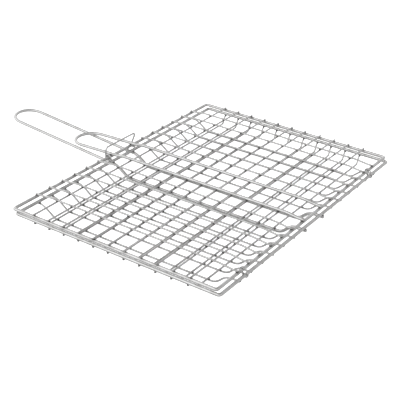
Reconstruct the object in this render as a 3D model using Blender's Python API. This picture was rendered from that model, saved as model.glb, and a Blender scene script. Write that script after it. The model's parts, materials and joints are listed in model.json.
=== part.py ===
"""Folding wire basket for grilling food over a fire.

Two welded wire grids open like a book: a flat lid and a dished tray. Each has a rim, a
net of thin long and cross wires, and a handle bent from one thick wire that runs the
whole length of its grid. Two wire coils round both rims are the hinge. A wire bail
pivots on the lid's rim and swings two hooks under the tray's rim to lock the halves.

+X runs from the handles to the hinge, +Y across and +Z up. Lengths are in millimetres,
with x = 0 at the lid rim's handle side, y = 0 on the middle line and z = 0 at the lid
rim's centre. place() turns them into metres from the middle of the part's footprint.
"""

import math
from collections import namedtuple

import bpy
from mathutils import Quaternion, Vector

# Wires
THICK = 2.3
THIN = 1.3
TIE = 0.8
BAIL = 1.25
WELD_GAP = 0.3
POKE = 0.6

# Both rims
RIM_LENGTH = 318.5
RIM_WIDTH = 450.0
RIM_CORNER = 3.4
TRAY_SHIFT = 4.5
TRAY_RIM_Z = -6.0

# Nets
LONG_PITCH = 25.875
LONG_PLACES = [-7, -6, -5, -4, -3, -2, 2, 3, 4, 5, 6, 7]
CROSS_COUNT = 11
LID_CROSS_START = 36.8
LID_CROSS_PITCH = 24.58
TRAY_CROSS_START = 37.7
TRAY_CROSS_PITCH = 24.07
TRAY_DROP = 11.1

# Handles
HANDLE_HALF = 23.5
LID_TIP = (-79.0, 1.4)
TRAY_TIP = (-201.0, 7.4)

# Hinge coils and bail
HINGE_POKE = 0.6
COIL_Y = 6.5 * LONG_PITCH
COIL_TURNS = 1.5
COIL_PITCH = 1.95
COIL_CLEAR = 0.3
BAIL_HALF = 35.0
BAIL_HEIGHT = 17.5
EYE_Y = 30.2
EYE_SHIFT = 2.7
HOOK_Y = 17.0
HOOK_Z = -11.8

# Heights of the stack of wires, out from each rim
LID_CROSS_Z = THICK + WELD_GAP + THIN
LID_LONG_Z = LID_CROSS_Z + 2 * THIN + WELD_GAP
LID_HANDLE_RIM_Z = 2 * THICK + WELD_GAP
LID_HANDLE_Z = LID_CROSS_Z + THIN + WELD_GAP + THICK
TRAY_CROSS_RIM_Z = TRAY_RIM_Z - THICK - WELD_GAP - THIN
TRAY_FLOOR_Z = TRAY_CROSS_RIM_Z - TRAY_DROP
TRAY_LONG_Z = TRAY_FLOOR_Z - 2 * THIN - WELD_GAP
TRAY_HANDLE_RIM_Z = TRAY_RIM_Z - 2 * THICK - WELD_GAP
TRAY_HANDLE_Z = TRAY_FLOOR_Z - THIN - WELD_GAP - THICK

# The thick wires have twelve sides, turned so that one is flat underneath.
SIDES_THICK = 12
FLAT = THICK * math.cos(math.pi / SIDES_THICK)
HINGE_X = RIM_LENGTH + TRAY_SHIFT
TRAY_END_X = HINGE_X + THICK + HINGE_POKE
COIL_RADIUS = THICK + COIL_CLEAR + TIE
ORIGIN_X = (TRAY_TIP[0] - FLAT + HINGE_X + COIL_RADIUS + TIE) / 2
ORIGIN_Z = TRAY_HANDLE_Z - FLAT
BEND_STEP = math.radians(18)

Pivot = namedtuple("Pivot", "empty position")


def place(x, y, z):
    """A point in metres from the middle of the footprint."""
    return Vector((x - ORIGIN_X, y, z - ORIGIN_Z)) / 1000


def clear_scene():
    for obj in list(bpy.data.objects):
        bpy.data.objects.remove(obj, do_unlink=True)


def pivot(name, position, parent=None):
    """An empty on a joint's axis."""
    empty = bpy.data.objects.new(name, None)
    empty.empty_display_size = 0.02
    bpy.context.scene.collection.objects.link(empty)
    empty.location = position
    if parent:
        empty.parent = parent.empty
        empty.location = position - parent.position
    return Pivot(empty, position)


def steel(name, shade, roughness):
    material = bpy.data.materials.new(name + "_steel")
    material.use_nodes = True
    shader = material.node_tree.nodes["Principled BSDF"]
    shader.inputs["Base Color"].default_value = (shade, shade, shade * 0.98, 1)
    shader.inputs["Metallic"].default_value = 1.0
    shader.inputs["Roughness"].default_value = roughness
    return material


def bend(before, corner, after, radius):
    """The points of the arc that rounds one corner."""
    back = (before - corner).normalized()
    ahead = (after - corner).normalized()
    turn = math.pi - back.angle(ahead)
    if turn < 0.01:
        return [corner]
    cut = radius * math.tan(turn / 2)
    centre = corner + (back + ahead).normalized() * radius / math.cos(turn / 2)
    start = corner + back * cut - centre
    end = corner + ahead * cut - centre
    axis = start.cross(end).normalized()
    steps = math.ceil(turn / BEND_STEP)
    return [centre + Quaternion(axis, turn * i / steps) @ start for i in range(steps + 1)]


def bent(corners, radius):
    """A wire's path through its corners, with every bend rounded."""
    points = [corners[0]]
    for before, corner, after in zip(corners, corners[1:], corners[2:]):
        points += bend(before, corner, after, radius)
    return points + [corners[-1]]


def wire(name, points, radius, look, about=None, sides=8, loop=False, twist="Z_UP"):
    """A round wire along the points, as an object whose origin is on its joint's axis."""
    curve = bpy.data.curves.new(name, "CURVE")
    curve.dimensions = "3D"
    curve.twist_mode = twist
    curve.bevel_depth = radius / 1000
    curve.bevel_resolution = sides // 2 - 2
    curve.use_fill_caps = True
    spline = curve.splines.new("POLY")
    spline.points.add(len(points) - 1)
    spline.use_cyclic_u = loop
    spline.use_smooth = True
    base = about.position if about else Vector()
    for knot, point in zip(spline.points, points):
        knot.co = (*(point - base), 1)
        knot.tilt = math.pi / sides
    curve.materials.append(steel(name, *look))
    obj = bpy.data.objects.new(name, curve)
    bpy.context.scene.collection.objects.link(obj)
    if about:
        obj.parent = about.empty
    return obj


def make_rim(name, x, z, about=None):
    half = RIM_WIDTH / 2
    far = x + RIM_LENGTH
    corners = [place(x, -half, z), place(far, -half, z), place(far, half, z), place(x, half, z)]
    points = []
    for i, corner in enumerate(corners):
        points += bend(corners[i - 1], corner, corners[(i + 1) % 4], RIM_CORNER / 1000)
    wire(name, points, THICK, (0.70, 0.22), about, SIDES_THICK, loop=True)


def make_handle(name, run, tip, about=None):
    """One wire: in along one side of the grid, round the grip's end and back."""
    tip_x, tip_z = tip
    centre_x = tip_x + HANDLE_HALF
    last_x, last_z = run[-1]
    slope = (tip_z - last_z) / (tip_x - last_x)
    corners = [place(x, -HANDLE_HALF, z) for x, z in run]
    start = place(centre_x, -HANDLE_HALF, last_z + slope * (centre_x - last_x))
    side = bent(corners + [start], 0.008)
    points = list(side)
    steps = 12
    for i in range(1, steps):
        angle = math.pi * i / steps
        x = centre_x - HANDLE_HALF * math.sin(angle)
        y = -HANDLE_HALF * math.cos(angle)
        points.append(place(x, y, last_z + slope * (x - last_x)))
    points += [Vector((p.x, -p.y, p.z)) for p in reversed(side)]
    wire(name, points, THICK, (0.72, 0.20), about, SIDES_THICK)


def make_lid_net(about):
    end = THICK + POKE
    half = RIM_WIDTH / 2 + end
    for i in range(CROSS_COUNT):
        x = LID_CROSS_START + i * LID_CROSS_PITCH
        points = [place(x, -half, LID_CROSS_Z), place(x, half, LID_CROSS_Z)]
        wire(f"upper_cross_wire_{i + 1:02d}", points, THIN, (0.66, 0.26), about)
    run = [(-end, LID_CROSS_Z), (7.0, LID_CROSS_Z), (24.0, LID_LONG_Z)]
    run += [(RIM_LENGTH - x, z) for x, z in reversed(run)]
    for i, step in enumerate(LONG_PLACES):
        points = bent([place(x, step * LONG_PITCH, z) for x, z in run], 0.006)
        wire(f"upper_long_wire_{i + 1:02d}", points, THIN, (0.66, 0.26), about)


def make_tray_net():
    end = THICK + POKE
    half = RIM_WIDTH / 2
    profile = [
        (-half - end, TRAY_CROSS_RIM_Z),
        (-half + 3.5, TRAY_CROSS_RIM_Z),
        (-half + 24.0, TRAY_FLOOR_Z),
        (half - 7.0, TRAY_FLOOR_Z),
        (half - 1.5, TRAY_CROSS_RIM_Z),
        (half + end, TRAY_CROSS_RIM_Z),
    ]
    for i in range(CROSS_COUNT):
        x = TRAY_CROSS_START + i * TRAY_CROSS_PITCH
        points = bent([place(x, y, z) for y, z in profile], 0.004)
        wire(f"lower_cross_wire_{i + 1:02d}", points, THIN, (0.66, 0.26))
    run = [
        (TRAY_SHIFT - end, TRAY_CROSS_RIM_Z),
        (8.0, TRAY_CROSS_RIM_Z),
        (16.0, TRAY_CROSS_RIM_Z - 3.5),
        (34.0, TRAY_LONG_Z),
        (288.0, TRAY_LONG_Z),
        (304.5, TRAY_CROSS_RIM_Z),
        (TRAY_END_X, TRAY_CROSS_RIM_Z),
    ]
    for i, step in enumerate(LONG_PLACES):
        points = bent([place(x, step * LONG_PITCH, z) for x, z in run], 0.006)
        wire(f"lower_long_wire_{i + 1:02d}", points, THIN, (0.66, 0.26))


def make_lid(about):
    make_rim("upper_rim", 0.0, 0.0, about)
    run = [
        (RIM_LENGTH + THICK + POKE, LID_HANDLE_RIM_Z),
        (RIM_LENGTH - 7.0, LID_HANDLE_RIM_Z),
        (RIM_LENGTH - 24.0, LID_HANDLE_Z),
        (24.0, LID_HANDLE_Z),
        (7.0, LID_HANDLE_RIM_Z),
        (-2.0, LID_HANDLE_RIM_Z),
    ]
    make_handle("upper_handle", run, LID_TIP, about)
    make_lid_net(about)


def make_tray():
    make_rim("lower_rim", TRAY_SHIFT, TRAY_RIM_Z)
    run = [
        (TRAY_END_X, TRAY_HANDLE_RIM_Z),
        (304.5, TRAY_HANDLE_RIM_Z),
        (288.0, TRAY_HANDLE_Z),
        (34.0, TRAY_HANDLE_Z),
        (16.0, TRAY_HANDLE_RIM_Z - 3.5),
        (8.0, TRAY_HANDLE_RIM_Z),
        (2.0, TRAY_HANDLE_RIM_Z),
    ]
    make_handle("lower_handle", run, TRAY_TIP)
    make_tray_net()


def make_coil(name, y, about):
    """A wire wound round both rims, each turn an oval with its ends on the two wires."""
    lid_end = Vector((RIM_LENGTH, 0.0))
    tray_end = Vector((HINGE_X, TRAY_RIM_Z))
    span = (tray_end - lid_end).length
    first = math.atan2(lid_end.y - tray_end.y, lid_end.x - tray_end.x) - math.pi / 2
    round_end = math.pi * COIL_RADIUS
    lap = 2 * (round_end + span)
    steps = 8
    oval = []
    for centre, start, gone in (
        (lid_end, first, 0.0),
        (tray_end, first + math.pi, round_end + span),
    ):
        for i in range(steps + 1):
            angle = start + math.pi * i / steps
            spot = centre + COIL_RADIUS * Vector((math.cos(angle), math.sin(angle)))
            oval.append((spot, gone + round_end * i / steps))
    points = []
    for i in range(round(COIL_TURNS * len(oval)) + 1):
        turn, place_on = divmod(i, len(oval))
        spot, gone = oval[place_on]
        shift = (turn + gone / lap - COIL_TURNS / 2) * COIL_PITCH
        points.append(place(spot.x, y + shift, spot.y))
    wire(name, points, TIE, (0.60, 0.28), about, twist="MINIMUM")


def make_bail(about):
    """Top bar, two legs, an eye round the rim below each leg, and two hooks."""
    eye_radius = THICK + 0.2 + BAIL
    inner_y = EYE_Y - EYE_SHIFT
    leg = bent(
        [place(0, 0, BAIL_HEIGHT), place(0, BAIL_HALF, BAIL_HEIGHT), place(-eye_radius, EYE_Y, 0)],
        0.005,
    )
    steps = 20
    eye = []
    for i in range(1, steps):
        angle = math.pi + 2 * math.pi * i / steps
        x = eye_radius * math.cos(angle)
        z = eye_radius * math.sin(angle)
        eye.append(place(x, EYE_Y - EYE_SHIFT * i / steps, z))
    tail = bent(
        [
            place(-eye_radius, inner_y, 0),
            place(-eye_radius, inner_y - 0.2, -1.6),
            place(-eye_radius, HOOK_Y + 1.6, -7.0),
            place(-eye_radius + 0.3, HOOK_Y, HOOK_Z),
            place(1.0, HOOK_Y, HOOK_Z),
        ],
        0.0016,
    )
    half = leg + eye + tail
    points = [Vector((p.x, -p.y, p.z)) for p in reversed(half)] + half[1:]
    wire("latch_bail", points, BAIL, (0.62, 0.24), about, sides=10, twist="MINIMUM")


def main():
    clear_scene()
    bpy.context.scene.unit_settings.system = "METRIC"
    lid_pivot = pivot("lid_pivot", place(HINGE_X, 0, TRAY_RIM_Z))
    bail_pivot = pivot("bail_pivot", place(0, 0, 0), lid_pivot)
    make_tray()
    make_lid(lid_pivot)
    make_coil("hinge_coil_front", -COIL_Y, lid_pivot)
    make_coil("hinge_coil_back", COIL_Y, lid_pivot)
    make_bail(bail_pivot)


main()
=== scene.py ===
"""Looks of the folding wire grill basket: drawn, welded and plated steel wire.

Every CAD node is replaced by a round wire with sheared ends, slight bows and its own
bends. Welds join the wires where they cross. Lengths are in millimetres from the lid
rim's handle side, middle line and centre height; place() turns them into the row frame.
"""

import json
import math
import random

import bpy
import numpy as np
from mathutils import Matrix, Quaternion, Vector

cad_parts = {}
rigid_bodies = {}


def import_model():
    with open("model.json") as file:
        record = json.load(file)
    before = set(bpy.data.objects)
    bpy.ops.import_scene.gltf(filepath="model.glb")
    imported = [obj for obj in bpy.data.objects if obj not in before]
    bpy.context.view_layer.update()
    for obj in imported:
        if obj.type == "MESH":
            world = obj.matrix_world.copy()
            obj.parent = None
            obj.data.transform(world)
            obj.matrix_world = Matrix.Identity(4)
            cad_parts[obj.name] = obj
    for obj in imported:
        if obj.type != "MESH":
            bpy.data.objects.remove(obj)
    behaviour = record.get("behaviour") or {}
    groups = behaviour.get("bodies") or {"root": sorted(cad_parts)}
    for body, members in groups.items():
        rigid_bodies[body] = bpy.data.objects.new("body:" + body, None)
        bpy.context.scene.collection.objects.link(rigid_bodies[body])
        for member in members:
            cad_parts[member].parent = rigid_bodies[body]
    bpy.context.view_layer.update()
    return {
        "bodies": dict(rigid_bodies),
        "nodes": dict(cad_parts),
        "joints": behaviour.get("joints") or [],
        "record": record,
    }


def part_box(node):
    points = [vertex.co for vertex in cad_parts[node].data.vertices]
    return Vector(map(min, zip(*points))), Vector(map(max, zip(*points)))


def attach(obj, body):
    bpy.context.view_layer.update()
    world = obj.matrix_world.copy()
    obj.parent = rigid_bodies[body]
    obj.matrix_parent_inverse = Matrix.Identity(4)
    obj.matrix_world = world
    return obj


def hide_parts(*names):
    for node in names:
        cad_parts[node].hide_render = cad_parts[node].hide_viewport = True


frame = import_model()

# Wires
THICK = 2.3
THIN = 1.3
TIE = 0.8
BAIL = 1.25
SINK = 0.25  # how far two welded wires sink into each other
POKE = 0.2  # how far the cross wires' back ends and the lid handle's ends pass the rim's outside
SHORT = 1.5  # how far the other net wires' ends pass the rim's centre, so they stay over the rim
HINGE_SHORT = 1.0  # the same for the tray's long wires at the hinge side
FLAT = THICK * math.cos(math.pi / 12)  # from a CAD rim's centre to its flat side

# Sides of each round wire
RIM_SIDES = 20
HANDLE_SIDES = 22
NET_SIDES = 14
TIE_SIDES = 14
BAIL_SIDES = 16

# The frame says where the rims lie and how large they are.
LID_LOW, LID_HIGH = (corner * 1000 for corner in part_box("upper_rim"))
TRAY_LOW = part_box("lower_rim")[0] * 1000
ORIGIN_X = LID_LOW.x + FLAT
ORIGIN_Z = (LID_LOW.z + LID_HIGH.z) / 2
RIM_LENGTH = LID_HIGH.x - LID_LOW.x - 2 * FLAT
RIM_WIDTH = LID_HIGH.y - LID_LOW.y - 2 * FLAT
RIM_CORNER = 3.4
TRAY_SHIFT = TRAY_LOW.x - LID_LOW.x
TRAY_RIM_Z = TRAY_LOW.z - LID_LOW.z

# Nets
LONG_PLACES = [-7, -6, -5, -4, -3, -2, 2, 3, 4, 5, 6, 7]
LONG_PITCH = 25.875
CROSS_COUNT = 11
LID_CROSS_START = 36.8
LID_CROSS_PITCH = 24.58
TRAY_CROSS_START = 37.7
TRAY_CROSS_PITCH = 24.07
TRAY_FLOOR_START = 32.5
TRAY_FLOOR_END = 288.5
TRAY_RISE_END = 304.5
CROSS_BOW = 0.45
CROSS_SPAN = 450
LONG_BOW = 0.4
LONG_SPAN = 316
SHEAR_SPREAD = 0.5

# Welds, in metres
WELD_REACH = 0.0025
SEAM_SWELL = 0.00022
SEAM_REACH = 0.0018
NET_BEAD = 0.0018
WIDE_BEAD = 0.0024
NET_BEAD_HEIGHT = 0.0008
RIM_BEAD_HEIGHT = 0.0009
HANDLE_BEAD_HEIGHT = 0.001
BEAD_AROUND = 10
BEAD_LEVELS = 5

# Handles
HANDLE_HALF = 23.5
LID_TIP = (-79.0, 1.4)
TRAY_TIP = (-201.0, 7.4)

# Hinge coils and bail
HINGE_POKE = 0.6
COIL_TURNS = 1.5
COIL_PITCH = 1.95
COIL_GAP = 0.3
COIL_RADIUS = THICK + COIL_GAP + TIE
BAIL_HALF = 35.0
BAIL_HEIGHT = 17.5
EYE_Y = 30.2
EYE_SHIFT = 2.7
EYE_GAP = 0.2
HOOK_Y = 17.0
HOOK_Z = -11.8

# Heights of the stack of wires, each sunk a little into the last by its weld
LID_CROSS_Z = THICK + THIN - SINK
LID_LONG_Z = LID_CROSS_Z + 2 * THIN - SINK
LID_HANDLE_RIM_Z = 2 * THICK - SINK
LID_HANDLE_Z = LID_CROSS_Z + THIN + THICK - SINK
TRAY_CROSS_RIM_Z = TRAY_RIM_Z - LID_CROSS_Z
TRAY_HANDLE_RIM_Z = TRAY_RIM_Z - LID_HANDLE_RIM_Z
TRAY_HANDLE_Z = THICK - ORIGIN_Z
TRAY_FLOOR_Z = TRAY_HANDLE_Z + THICK + THIN - SINK
TRAY_LONG_Z = TRAY_FLOOR_Z - 2 * THIN + SINK
HINGE_X = RIM_LENGTH + TRAY_SHIFT
TRAY_END_X = HINGE_X + THICK + HINGE_POKE

BEND_STEP = math.radians(6)

# Lengths, in metres, into which long straights are divided
RIM_STEP = 0.007
SWAY_STEP = 0.007
HANDLE_STEP = 0.01

ROUND_STEPS = 40  # steps of the grip's half circle and of the bail's eye
OVAL_STEPS = 16


def place(x, y, z):
    """A point of the row frame, in metres."""
    return Vector((x + ORIGIN_X, y, z + ORIGIN_Z)) / 1000


# ---------------------------------------------------------------- paths


def bend(before, corner, after, radius):
    """The points of the arc that rounds one corner."""
    back = (before - corner).normalized()
    ahead = (after - corner).normalized()
    turn = math.pi - back.angle(ahead)
    if turn < 0.01:
        return [corner]
    cut = radius * math.tan(turn / 2)
    centre = corner + (back + ahead).normalized() * radius / math.cos(turn / 2)
    start = corner + back * cut - centre
    end = corner + ahead * cut - centre
    axis = start.cross(end).normalized()
    steps = math.ceil(turn / BEND_STEP)
    return [centre + Quaternion(axis, turn * i / steps) @ start for i in range(steps + 1)]


def bent(corners, radii):
    """A path through its corners, each bend with its own radius."""
    points = [corners[0]]
    for before, corner, after, radius in zip(corners, corners[1:], corners[2:], radii):
        points += bend(before, corner, after, radius)
    return points + [corners[-1]]


def refined(points, step):
    """The path with long straights divided, so that a bow can bend them."""
    out = [points[0]]
    for start, end in zip(points, points[1:]):
        parts = max(1, round((end - start).length / step))
        out += [start.lerp(end, (i + 1) / parts) for i in range(parts)]
    return out


def bow(seed, size, length):
    """A slight sideways wander along a wire, as a function of the place along it."""
    rng = random.Random(seed)
    waves = []
    for k in range(3):
        height = rng.uniform(0.5, 1) * size / (k + 1)
        waves.append((height, k + rng.uniform(0.6, 1.4), rng.uniform(0, 6.3)))
    lean = rng.uniform(-size, size)

    def offset(s):
        t = s / length
        return lean * t + sum(a * math.sin(math.pi * n * t + phase) for a, n, phase in waves)

    return offset


# ---------------------------------------------------------------- wire meshes


def frames_along(points, closed):
    """A tangent and two cross directions at each point, carried without twist."""
    count = len(points)
    tangents = []
    for i, point in enumerate(points):
        before = points[i - 1] if i or closed else point
        after = points[(i + 1) % count] if i + 1 < count or closed else point
        tangents.append((after - before).normalized())
    side = tangents[0].orthogonal().normalized()
    sides = [side]
    for last, now in zip(tangents, tangents[1:]):
        side = last.rotation_difference(now) @ side
        side = (side - now * side.dot(now)).normalized()
        sides.append(side)
    if closed:
        back = tangents[-1].rotation_difference(tangents[0]) @ sides[-1]
        twist = math.atan2(back.cross(sides[0]).dot(tangents[0]), back.dot(sides[0]))
        pairs = enumerate(zip(tangents, sides))
        sides = [Quaternion(t, twist * i / count) @ s for i, (t, s) in pairs]
    return [(t, s, t.cross(s)) for t, s in zip(tangents, sides)]


SHEARED_END = [(0, 0.72), (0.1, 0.9), (0.35, 1)]


def ring_plan(points, radius, closed):
    """(point, frame, radius, place along) of each ring. An open wire ends in a sheared edge."""
    frames = frames_along(points, closed)
    along = [0.0]
    for start, end in zip(points, points[1:]):
        along.append(along[-1] + (end - start).length)
    rings = [(p, f, radius, s) for p, f, s in zip(points, frames, along)]
    if closed:
        return rings

    def end_rings(ring, inward):
        """The three rings of a sheared end, from its edge inward."""
        point, frame, _, gone = ring
        ahead = inward * frame[0] * radius
        return [(point + ahead * deep, frame, radius * wide, gone) for deep, wide in SHEARED_END]

    head = end_rings(rings[0], 1)
    tail = end_rings(rings[-1], -1)
    return head + rings[1:-1] + tail[::-1]


def linked(name, data):
    """A new object in the scene."""
    obj = bpy.data.objects.new(name, data)
    bpy.context.scene.collection.objects.link(obj)
    return obj


def tube(name, points, radius, sides, material, closed=False, welds=(), swell=None):
    """A round wire as a mesh, with each vertex's place on the wire and nearness to a weld."""
    rings = ring_plan(points, radius, closed)
    verts, along = [], []
    for point, (_, side, up), size, gone in rings:
        if swell:
            size += swell(gone)
        for k in range(sides):
            angle = 2 * math.pi * k / sides
            out = side * math.cos(angle) + up * math.sin(angle)
            verts.append(point + out * size)
            along.append((math.cos(angle) * radius, math.sin(angle) * radius, gone))
    count = len(rings)
    faces = []
    for i in range(count if closed else count - 1):
        a, b = i * sides, ((i + 1) % count) * sides
        for k in range(sides):
            m = (k + 1) % sides
            faces.append((a + k, a + m, b + m, b + k))
    if not closed:
        faces.append(tuple(reversed(range(sides))))
        faces.append(tuple((count - 1) * sides + k for k in range(sides)))
    mesh = bpy.data.meshes.new(name)
    mesh.from_pydata(verts, [], faces)
    mesh.polygons.foreach_set("use_smooth", [len(face) == 4 for face in faces])
    store = mesh.attributes.new("along", "FLOAT_VECTOR", "POINT")
    store.data.foreach_set("vector", np.array(along, np.float32).ravel())
    near = mesh.attributes.new("weld", "FLOAT", "POINT")
    near.data.foreach_set("value", nearness(np.array([tuple(v) for v in verts]), welds))
    mesh.materials.append(material)
    return linked(name, mesh)


def nearness(verts, welds):
    """1 at a weld, falling to 0 a few millimetres along the wire."""
    if not len(welds):
        return np.zeros(len(verts), np.float32)
    spots = np.array([tuple(w) for w in welds])
    gap = np.linalg.norm(verts[:, None] - spots[None], axis=2).min(axis=1)
    return np.exp(-((gap / WELD_REACH) ** 2)).astype(np.float32)


def bead_mesh(name, beads, material):
    """Weld metal squeezed out where two wires cross: one flat, uneven bead at each place."""
    rng = random.Random(name)
    verts, faces = [], []
    for centre, spread_x, spread_y, height in beads:
        size = rng.uniform(0.72, 1.15)
        wobble = [size * rng.uniform(0.88, 1.12) for _ in range(BEAD_AROUND)]
        base = len(verts)
        verts.append(centre - Vector((0, 0, height)))
        for j in range(1, BEAD_LEVELS):
            lift = -math.cos(math.pi * j / BEAD_LEVELS)
            wide = math.sin(math.pi * j / BEAD_LEVELS) ** 0.7
            for k in range(BEAD_AROUND):
                angle = 2 * math.pi * k / BEAD_AROUND
                x = spread_x * wide * wobble[k] * math.cos(angle)
                y = spread_y * wide * wobble[k] * math.sin(angle)
                verts.append(centre + Vector((x, y, height * lift)))
        verts.append(centre + Vector((0, 0, height)))
        top = base + 1 + (BEAD_LEVELS - 1) * BEAD_AROUND
        for k in range(BEAD_AROUND):
            m = (k + 1) % BEAD_AROUND
            faces.append((base, base + 1 + m, base + 1 + k))
            faces.append((top, top - BEAD_AROUND + k, top - BEAD_AROUND + m))
            for j in range(BEAD_LEVELS - 2):
                a = base + 1 + j * BEAD_AROUND
                b = a + BEAD_AROUND
                faces.append((a + k, a + m, b + m, b + k))
    mesh = bpy.data.meshes.new(name)
    mesh.from_pydata(verts, [], faces)
    mesh.polygons.foreach_set("use_smooth", [True] * len(faces))
    mesh.materials.append(material)
    return linked(name, mesh)


# ---------------------------------------------------------------- materials


def add(nodes, kind, **values):
    """A new node, with its properties and its inputs' values given by name."""
    node = nodes.new(kind)
    for key, value in values.items():
        if hasattr(node, key):
            setattr(node, key, value)
        else:
            node.inputs[key.replace("_", " ")].default_value = value
    return node


def ramp_node(nodes, stops):
    """A colour ramp through (place, colour) stops."""
    node = nodes.new("ShaderNodeValToRGB")
    node.color_ramp.elements[0].position = stops[0][0]
    node.color_ramp.elements[0].color = stops[0][1]
    node.color_ramp.elements[1].position = stops[-1][0]
    node.color_ramp.elements[1].color = stops[-1][1]
    for position, colour in stops[1:-1]:
        element = node.color_ramp.elements.new(position)
        element.color = colour
    return node


def range_node(nodes, low, high, to_low, to_high):
    """A Map Range from low..high to to_low..to_high."""
    node = nodes.new("ShaderNodeMapRange")
    node.inputs["From Min"].default_value = low
    node.inputs["From Max"].default_value = high
    node.inputs["To Min"].default_value = to_low
    node.inputs["To Max"].default_value = to_high
    return node


def grey(value, warm=0.0):
    """A grey, slightly warmer or cooler by warm."""
    return (value * (1 + warm), value, value * (1 - warm), 1)


def new_material(name):
    """A material with its nodes, links and Principled shader."""
    material = bpy.data.materials.new(name)
    material.use_nodes = True
    nodes = material.node_tree.nodes
    return material, nodes, material.node_tree.links, nodes["Principled BSDF"]


def add_bump(nodes, links, shader, height, strength, distance):
    """Relief from a height, on the shader's normal."""
    bump = add(nodes, "ShaderNodeBump", Strength=strength, Distance=distance)
    links.new(height, bump.inputs["Height"])
    links.new(bump.outputs["Normal"], shader.inputs["Normal"])


WELD_TINT_AND_SHADE = 0.2  # how bright the steel is at a weld, as a share of the rest; the darkening is partly weld scale and partly painted contact shade
WELD_ROUGHER = 0.22


def plated_wire(name, bright, rough, seed):
    """Plated drawn wire: fine streaks along it, cloudy patches, and a darkening at each weld, partly
    weld scale and partly painted shade where the wires meet.
    """
    material, nodes, links, shader = new_material(name)
    shader.inputs["Metallic"].default_value = 1.0
    shader.inputs["IOR"].default_value = 2.2

    place_on = add(nodes, "ShaderNodeAttribute", attribute_name="along")
    stretch = add(nodes, "ShaderNodeMapping")
    stretch.inputs["Scale"].default_value = (2600, 2600, 60)
    stretch.inputs["Location"].default_value = (seed, 2 * seed, 0)
    links.new(place_on.outputs["Vector"], stretch.inputs["Vector"])
    streaks = add(nodes, "ShaderNodeTexNoise", Scale=1.0, Detail=4.0, Roughness=0.6)
    links.new(stretch.outputs["Vector"], streaks.inputs["Vector"])

    where = add(nodes, "ShaderNodeTexCoord")
    patches = add(nodes, "ShaderNodeTexNoise", Scale=95.0, Detail=3.0, Roughness=0.55)
    links.new(where.outputs["Object"], patches.inputs["Vector"])
    pits = add(nodes, "ShaderNodeTexNoise", Scale=900.0, Detail=2.0, Roughness=0.5)
    links.new(where.outputs["Object"], pits.inputs["Vector"])

    tone = ramp_node(
        nodes,
        [
            (0.28, grey(bright * 0.84, 0.012)),
            (0.5, grey(bright, 0.004)),
            (0.75, grey(min(1, bright * 1.08), -0.004)),
        ],
    )
    links.new(patches.outputs["Fac"], tone.inputs["Fac"])
    near = add(nodes, "ShaderNodeAttribute", attribute_name="weld")
    # painted shade: the steel turns dark near each weld, partly weld scale and partly the shade
    # where the wires meet
    weld_tint_and_shade = add(nodes, "ShaderNodeMix", data_type="RGBA")
    links.new(near.outputs["Fac"], weld_tint_and_shade.inputs["Factor"])
    links.new(tone.outputs["Color"], weld_tint_and_shade.inputs["A"])
    weld_tint_and_shade.inputs["B"].default_value = grey(bright * WELD_TINT_AND_SHADE, 0.05)
    streak_tone = ramp_node(nodes, [(0.3, grey(0.86)), (0.65, grey(1.0))])
    links.new(streaks.outputs["Fac"], streak_tone.inputs["Fac"])
    wear_and_weld_shade = add(nodes, "ShaderNodeMix", data_type="RGBA", blend_type="MULTIPLY")
    wear_and_weld_shade.inputs["Factor"].default_value = 1.0
    links.new(weld_tint_and_shade.outputs["Result"], wear_and_weld_shade.inputs["A"])
    links.new(streak_tone.outputs["Color"], wear_and_weld_shade.inputs["B"])
    links.new(wear_and_weld_shade.outputs["Result"], shader.inputs["Base Color"])

    dull = range_node(nodes, 0.3, 0.7, rough * 0.7, rough * 1.4)
    links.new(streaks.outputs["Fac"], dull.inputs["Value"])
    rougher = add(nodes, "ShaderNodeMath", operation="MULTIPLY_ADD")
    links.new(near.outputs["Fac"], rougher.inputs[0])
    rougher.inputs[1].default_value = WELD_ROUGHER
    links.new(dull.outputs["Result"], rougher.inputs[2])
    links.new(rougher.outputs["Value"], shader.inputs["Roughness"])

    relief = add(nodes, "ShaderNodeMath", operation="ADD")
    links.new(streaks.outputs["Fac"], relief.inputs[0])
    links.new(pits.outputs["Fac"], relief.inputs[1])
    add_bump(nodes, links, shader, relief.outputs["Value"], 0.35, 0.00004)
    return material


def weld_metal_and_shade(name):
    """Spot weld metal: matt and grainy, with plating that shines through in places. Its near-black
    colour is partly weld scale and partly painted shade where the wires meet.
    """
    material, nodes, links, shader = new_material(name)
    shader.inputs["Metallic"].default_value = 1.0
    where = add(nodes, "ShaderNodeTexCoord")
    grain = add(nodes, "ShaderNodeTexNoise", Scale=1400.0, Detail=3.0, Roughness=0.6)
    links.new(where.outputs["Object"], grain.inputs["Vector"])
    # painted shade: the near-black greys are partly weld scale and partly the shade in the wires'
    # contacts
    stops = [(0.35, grey(0.02, 0.08)), (0.6, grey(0.07, 0.05)), (0.85, grey(0.25, 0.02))]
    tone = ramp_node(nodes, stops)
    links.new(grain.outputs["Fac"], tone.inputs["Fac"])
    links.new(tone.outputs["Color"], shader.inputs["Base Color"])
    dull = range_node(nodes, 0.0, 1.0, 0.3, 0.62)
    links.new(grain.outputs["Fac"], dull.inputs["Value"])
    links.new(dull.outputs["Result"], shader.inputs["Roughness"])
    add_bump(nodes, links, shader, grain.outputs["Fac"], 0.6, 0.00012)
    return material


STEEL = {
    "rim_wire": plated_wire("plated_rim_wire", 0.76, 0.17, 3.0),
    "handle_wire": plated_wire("plated_handle_wire", 0.76, 0.17, 7.0),
    "grid_wire": plated_wire("plated_grid_wire", 0.72, 0.18, 11.0),
    "hinge_wire": plated_wire("plated_hinge_wire", 0.70, 0.22, 17.0),
    "latch_wire": plated_wire("plated_latch_wire", 0.72, 0.20, 23.0),
}
WELD_BEAD_AND_SHADE = weld_metal_and_shade("weld_metal_and_shade")


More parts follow.
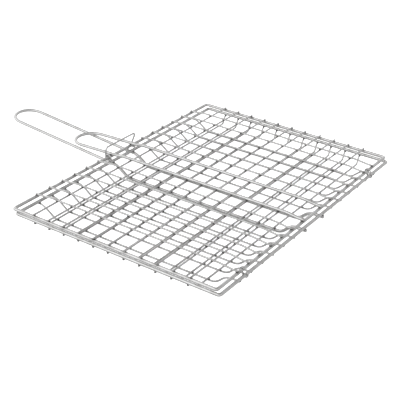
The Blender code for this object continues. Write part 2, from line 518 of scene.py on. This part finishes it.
def finish_piece(obj, slot, body, *nodes):
    """Attaches the piece to the body it rides on and hides the CAD nodes it replaces; slot is not
    used.
    """
    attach(obj, body)
    if nodes:
        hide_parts(*nodes)


# ---------------------------------------------------------------- rims, nets and handles


def make_rim(node, body, x, z, welds):
    """A rim, closed by a butt weld in the middle of its handle side."""
    half = RIM_WIDTH / 2
    far = x + RIM_LENGTH
    corners = [place(x, -half, z), place(far, -half, z), place(far, half, z), place(x, half, z)]
    points = []
    for i, corner in enumerate(corners):
        points += bend(corners[i - 1], corner, corners[(i + 1) % 4], RIM_CORNER / 1000)
    middle = (points[-1] + points[0]) / 2
    path = refined([middle] + points + [middle], RIM_STEP)[:-1]
    total = sum((a - b).length for a, b in zip(path, path[1:] + path[:1]))

    def seam(gone):
        """The butt weld that closes the rim."""
        gap = min(gone, total - gone)
        return SEAM_SWELL * math.exp(-((gap / SEAM_REACH) ** 2))

    obj = tube(
        node + "_steel", path, THICK / 1000, RIM_SIDES, STEEL["rim_wire"], True, welds, seam
    )
    finish_piece(obj, "rim_wire", body, node)


def handle_path(run, radii, tip):
    """In along one side of the grid, round the grip's end and back."""
    tip_x, tip_z = tip
    centre_x = tip_x + HANDLE_HALF
    last_x, last_z = run[-1]
    slope = (tip_z - last_z) / (tip_x - last_x)
    start = place(centre_x, -HANDLE_HALF, last_z + slope * (centre_x - last_x))
    side = bent([place(x, -HANDLE_HALF, z) for x, z in run] + [start], radii)
    points = refined(side, HANDLE_STEP)
    other = [Vector((p.x, -p.y, p.z)) for p in reversed(points)]
    for i in range(1, ROUND_STEPS):
        angle = math.pi * i / ROUND_STEPS
        x = centre_x - HANDLE_HALF * math.sin(angle)
        y = -HANDLE_HALF * math.cos(angle)
        points.append(place(x, y, last_z + slope * (x - last_x)))
    return points + other


def make_handle(node, body, points, welds):
    steel = STEEL["handle_wire"]
    obj = tube(node + "_steel", points, THICK / 1000, HANDLE_SIDES, steel, False, welds)
    finish_piece(obj, "handle_wire", body, node)


class Net:
    """One half's net: its wires' bows, its crossings, and its pieces."""

    def __init__(self, half, body, cross_start, cross_pitch, cross_z):
        self.half = half
        self.body = body
        self.cross_x = [cross_start + i * cross_pitch for i in range(CROSS_COUNT)]
        self.long_y = [step * LONG_PITCH for step in LONG_PLACES]
        self.cross_bow = [
            bow(f"{half} cross {i}", CROSS_BOW, CROSS_SPAN) for i in range(CROSS_COUNT)
        ]
        self.long_bow = [
            bow(f"{half} long {i}", LONG_BOW, LONG_SPAN) for i in range(len(LONG_PLACES))
        ]
        self.cross_z = cross_z

    def cross_at(self, i, y):
        return self.cross_x[i] + self.cross_bow[i](y + CROSS_SPAN / 2)

    def long_at(self, j, x):
        return self.long_y[j] + self.long_bow[j](x)

    def crossing(self, i, j, z):
        y = self.long_at(j, self.cross_x[i])
        return place(self.cross_at(i, y), y, z)

    def make_wire(self, kind, number, points, sway, radii, welds):
        """One net wire: bent, then moved sideways at each point by its bow."""
        points = [p + sway(p) / 1000 for p in refined(bent(points, radii), SWAY_STEP)]
        node = f"{self.half}_{kind}_wire_{number + 1:02d}"
        steel = STEEL["grid_wire"]
        obj = tube(node + "_steel", points, THIN / 1000, NET_SIDES, steel, False, welds)
        finish_piece(obj, "grid_wire", self.body, node)

    def make_cross(self, i, profile, radii, welds):
        """profile holds (y, z) pairs."""

        def sway(p):
            return Vector((self.cross_bow[i](p.y * 1000 + CROSS_SPAN / 2), 0, 0))

        points = [place(self.cross_x[i], y, z) for y, z in profile]
        self.make_wire("cross", i, points, sway, radii, welds)

    def make_long(self, j, profile, radii, welds):
        """profile holds (x, z) pairs."""

        def sway(p):
            return Vector((0, self.long_bow[j](p.x * 1000 - ORIGIN_X), 0))

        points = [place(x, self.long_y[j], z) for x, z in profile]
        self.make_wire("long", j, points, sway, radii, welds)


def frayed(profile, seed):
    """The wire's two ends sheared a little unevenly."""
    rng = random.Random(seed)
    first, *middle, last = profile
    sign = 1 if last[0] > first[0] else -1
    start = (first[0] + sign * rng.uniform(-SHEAR_SPREAD, SHEAR_SPREAD), first[1])
    end = (last[0] + sign * rng.uniform(-SHEAR_SPREAD, 0.0), last[1])
    return [start, *middle, end]


def joined(rows):
    """The spots of all rows in one list."""
    return [spot for row in rows for spot in row]


def make_half(net, rim_x, rim_z, side, cross, long, run, tip):
    """One half. side is +1 where the net lies above its rim and -1 where it hangs below.

    cross, long and run each hold a profile and its bends' radii: of the cross wires, of the
    long wires, and of the handle from the hinge side in.
    """
    half = RIM_WIDTH / 2
    far = rim_x + RIM_LENGTH
    rim_touch = rim_z + side * (THICK - SINK / 2)
    net_touch = net.cross_z + side * (THIN - SINK / 2)
    longs = range(len(LONG_PLACES))
    crosses = range(CROSS_COUNT)
    cross_ends = [[place(net.cross_at(i, y), y, rim_touch) for y in (-half, half)] for i in crosses]
    long_ends = [[place(x, net.long_at(j, x), rim_touch) for x in (rim_x, far)] for j in longs]
    handle_ends = [place(x, y, rim_touch) for x in (rim_x, far) for y in (-HANDLE_HALF, HANDLE_HALF)]
    meets = [[net.crossing(i, j, net_touch) for j in longs] for i in crosses]
    props = [
        [place(net.cross_at(i, y), y, net_touch) for y in (-HANDLE_HALF, HANDLE_HALF)]
        for i in crosses
    ]
    rim_spots = joined(cross_ends) + joined(long_ends)
    make_rim(f"{net.half}_rim", net.body, rim_x, rim_z, rim_spots + handle_ends)
    for i in crosses:
        profile = frayed(cross[0], f"{net.half} cross ends {i}")
        net.make_cross(i, profile, cross[1], meets[i] + cross_ends[i] + props[i])
    for j in longs:
        profile = frayed(long[0], f"{net.half} long ends {j}")
        net.make_long(j, profile, long[1], [row[j] for row in meets] + long_ends[j])
    points = handle_path(*run, tip)
    make_handle(f"{net.half}_handle", net.body, points, joined(props) + handle_ends)

    beads = [(spot, NET_BEAD, NET_BEAD, NET_BEAD_HEIGHT) for spot in joined(meets)]
    beads += [(spot, NET_BEAD, NET_BEAD, RIM_BEAD_HEIGHT) for spot in rim_spots]
    beads += [(spot, NET_BEAD, WIDE_BEAD, RIM_BEAD_HEIGHT) for spot in joined(props)]
    beads += [(spot, WIDE_BEAD, WIDE_BEAD, HANDLE_BEAD_HEIGHT) for spot in handle_ends]
    obj = bead_mesh(f"{net.half}_welds", beads, WELD_BEAD_AND_SHADE)
    finish_piece(obj, "grid_wire", net.body)


def make_lid():
    end = THICK + POKE
    half = RIM_WIDTH / 2
    net = Net("upper", "upper_half", LID_CROSS_START, LID_CROSS_PITCH, LID_CROSS_Z)
    cross_profile = [(-half - SHORT, LID_CROSS_Z), (half + end, LID_CROSS_Z)]
    long_profile = [(-SHORT, LID_CROSS_Z), (6.0, LID_CROSS_Z), (26.0, LID_LONG_Z)]
    long_profile += [(RIM_LENGTH - x, z) for x, z in reversed(long_profile)]
    run = [
        (RIM_LENGTH + end, LID_HANDLE_RIM_Z),
        (RIM_LENGTH - 6.0, LID_HANDLE_RIM_Z),
        (RIM_LENGTH - 24.0, LID_HANDLE_Z),
        (24.0, LID_HANDLE_Z),
        (6.0, LID_HANDLE_RIM_Z),
        (-2.0, LID_HANDLE_RIM_Z),
    ]
    long = (long_profile, [0.03] * 4)
    make_half(net, 0.0, 0.0, 1, (cross_profile, []), long, (run, [0.03] * 5), LID_TIP)


def make_tray():
    end = THICK + POKE
    half = RIM_WIDTH / 2
    net = Net("lower", "lower_half", TRAY_CROSS_START, TRAY_CROSS_PITCH, TRAY_FLOOR_Z)
    cross_profile = [
        (-half - SHORT, TRAY_CROSS_RIM_Z),
        (-half + 5.0, TRAY_CROSS_RIM_Z),
        (-half + 22.0, TRAY_FLOOR_Z),
        (half - 7.0, TRAY_FLOOR_Z),
        (half - 1.5, TRAY_CROSS_RIM_Z),
        (half + end, TRAY_CROSS_RIM_Z),
    ]
    long_profile = [
        (TRAY_SHIFT - SHORT, TRAY_CROSS_RIM_Z),
        (9.0, TRAY_CROSS_RIM_Z - 0.3),
        (17.0, TRAY_CROSS_RIM_Z - 3.8),
        (TRAY_FLOOR_START, TRAY_LONG_Z),
        (TRAY_FLOOR_END, TRAY_LONG_Z),
        (TRAY_RISE_END, TRAY_CROSS_RIM_Z),
        (HINGE_X + HINGE_SHORT, TRAY_CROSS_RIM_Z),
    ]
    run = [
        (TRAY_END_X, TRAY_HANDLE_RIM_Z),
        (TRAY_RISE_END, TRAY_HANDLE_RIM_Z),
        (TRAY_FLOOR_END, TRAY_HANDLE_Z),
        (TRAY_FLOOR_START, TRAY_HANDLE_Z),
        (16.0, TRAY_HANDLE_RIM_Z - 3.5),
        (8.0, TRAY_HANDLE_RIM_Z),
        (2.0, TRAY_HANDLE_RIM_Z),
    ]
    cross = (cross_profile, [0.009, 0.009, 0.004, 0.004])
    long = (long_profile, [0.012, 0.02, 0.014, 0.019, 0.019])
    run = (run, [0.018, 0.018, 0.014, 0.02, 0.012, 0.012])
    make_half(net, TRAY_SHIFT, TRAY_RIM_Z, -1, cross, long, run, TRAY_TIP)


# ---------------------------------------------------------------- hinge coils and bail


def make_coil(node):
    """A wire wound round both rims, each turn an oval."""
    low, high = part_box(node)
    middle_y = (low.y + high.y) * 500
    lid_end = Vector((RIM_LENGTH, 0.0))
    tray_end = Vector((HINGE_X, TRAY_RIM_Z))
    span = (tray_end - lid_end).length
    first = math.atan2(lid_end.y - tray_end.y, lid_end.x - tray_end.x) - math.pi / 2
    round_end = math.pi * COIL_RADIUS
    lap = 2 * (round_end + span)
    oval = []
    for centre, start, gone in (
        (lid_end, first, 0.0),
        (tray_end, first + math.pi, round_end + span),
    ):
        for i in range(OVAL_STEPS + 1):
            angle = start + math.pi * i / OVAL_STEPS
            spot = centre + COIL_RADIUS * Vector((math.cos(angle), math.sin(angle)))
            oval.append((spot, gone + round_end * i / OVAL_STEPS))
    points = []
    for i in range(round(COIL_TURNS * len(oval)) + 1):
        turn, on = divmod(i, len(oval))
        spot, gone = oval[on]
        shift = (turn + gone / lap - COIL_TURNS / 2) * COIL_PITCH
        points.append(place(spot.x, middle_y + shift, spot.y))
    obj = tube(node + "_steel", points, TIE / 1000, TIE_SIDES, STEEL["hinge_wire"])
    finish_piece(obj, "hinge_wire", "upper_half", node)


def make_bail():
    """Top bar, two legs, an eye round the rim below each leg, and two hooks."""
    eye_radius = THICK + EYE_GAP + BAIL
    inner_y = EYE_Y - EYE_SHIFT
    leg = bent(
        [place(0, 0, BAIL_HEIGHT), place(0, BAIL_HALF, BAIL_HEIGHT), place(-eye_radius, EYE_Y, 0)],
        [0.005],
    )
    eye = []
    for i in range(1, ROUND_STEPS):
        angle = math.pi + 2 * math.pi * i / ROUND_STEPS
        x = eye_radius * math.cos(angle)
        z = eye_radius * math.sin(angle)
        eye.append(place(x, EYE_Y - EYE_SHIFT * i / ROUND_STEPS, z))
    tail = bent(
        [
            place(-eye_radius, inner_y, 0),
            place(-eye_radius, inner_y - 0.2, -1.6),
            place(-eye_radius, HOOK_Y + 1.6, -7.0),
            place(-eye_radius + 0.3, HOOK_Y, HOOK_Z),
            place(1.0, HOOK_Y, HOOK_Z),
        ],
        [0.0018, 0.0025, 0.0017],
    )
    half = leg + eye + tail
    points = [Vector((p.x, -p.y, p.z)) for p in reversed(half)] + half[1:]
    obj = tube("latch_bail_steel", points, BAIL / 1000, BAIL_SIDES, STEEL["latch_wire"])
    finish_piece(obj, "latch_wire", "latch", "latch_bail")


# ---------------------------------------------------------------- studio


FLOOR_HALF = 30.0


def make_floor():
    """White paper. It glows for the camera only, so that no shadow shows on it."""
    mesh = bpy.data.meshes.new("studio_floor")
    around = ((-1, -1), (1, -1), (1, 1), (-1, 1))
    mesh.from_pydata([(x * FLOOR_HALF, y * FLOOR_HALF, 0) for x, y in around], [], [(0, 1, 2, 3)])
    floor = linked("studio_floor", mesh)
    material, nodes, links, shader = new_material("white_paper")
    shader.inputs["Base Color"].default_value = (0.80, 0.80, 0.80, 1)
    shader.inputs["Roughness"].default_value = 0.9
    shader.inputs["Specular IOR Level"].default_value = 0.1
    shader.inputs["Emission Color"].default_value = (1, 1, 1, 1)
    path = add(nodes, "ShaderNodeLightPath")
    links.new(path.outputs["Is Camera Ray"], shader.inputs["Emission Strength"])
    mesh.materials.append(material)


def make_world():
    """Soft surroundings, brightest low at the front left, dim overhead and at the back right."""
    world = bpy.data.worlds.new("studio")
    bpy.context.scene.world = world
    world.use_nodes = True
    nodes, links = world.node_tree.nodes, world.node_tree.links
    background = nodes["Background"]
    where = add(nodes, "ShaderNodeTexCoord")
    split = add(nodes, "ShaderNodeSeparateXYZ")
    links.new(where.outputs["Generated"], split.inputs["Vector"])
    heights = ((0.0, 0.70), (0.20, 1.0), (0.50, 0.95), (0.75, 0.46), (1.0, 0.38))
    sky = ramp_node(nodes, [(height, grey(value)) for height, value in heights])
    links.new(split.outputs["Z"], sky.inputs["Fac"])
    toward = add(nodes, "ShaderNodeVectorMath", operation="DOT_PRODUCT")
    toward.inputs[1].default_value = (-0.62, -0.78, 0)
    links.new(where.outputs["Generated"], toward.inputs[0])
    side = range_node(nodes, -0.9, 0.9, 0.62, 1.42)
    links.new(toward.outputs["Value"], side.inputs["Value"])
    links.new(sky.outputs["Color"], background.inputs["Color"])
    links.new(side.outputs["Result"], background.inputs["Strength"])


def area_light(name, location, target, size, power):
    light = bpy.data.lights.new(name, "AREA")
    light.shape = "RECTANGLE"
    light.size, light.size_y = size
    light.energy = power
    obj = linked(name, light)
    obj.location = location
    obj.rotation_euler = (Vector(target) - Vector(location)).to_track_quat("-Z", "Y").to_euler()


def make_studio():
    make_floor()
    make_world()
    area_light("key_softbox", (-0.6, -1.2, 1.9), (0, 0, 0), (1.6, 1.0), 3)
    area_light("back_softbox", (-0.9, 1.5, 1.5), (0, 0, 0), (1.8, 0.8), 1.5)
    area_light("side_softbox", (1.8, 0.6, 1.4), (0, 0, 0), (1.2, 1.0), 1.5)
    bpy.context.scene.view_settings.view_transform = "Standard"
    bpy.context.scene.view_settings.look = "None"


def make_camera():
    data = bpy.data.cameras.new("camera")
    data.lens = 91.68
    data.sensor_width = 36.0
    camera = linked("camera", data)
    camera.location = place(843.6, -RIM_WIDTH / 2 - 839.8, 644.6)
    camera.rotation_euler = [math.radians(a) for a in (61.92, -1.97, 34.41)]
    bpy.context.scene.camera = camera


make_tray()
make_lid()
make_coil("hinge_coil_front")
make_coil("hinge_coil_back")
make_bail()
make_studio()
make_camera()
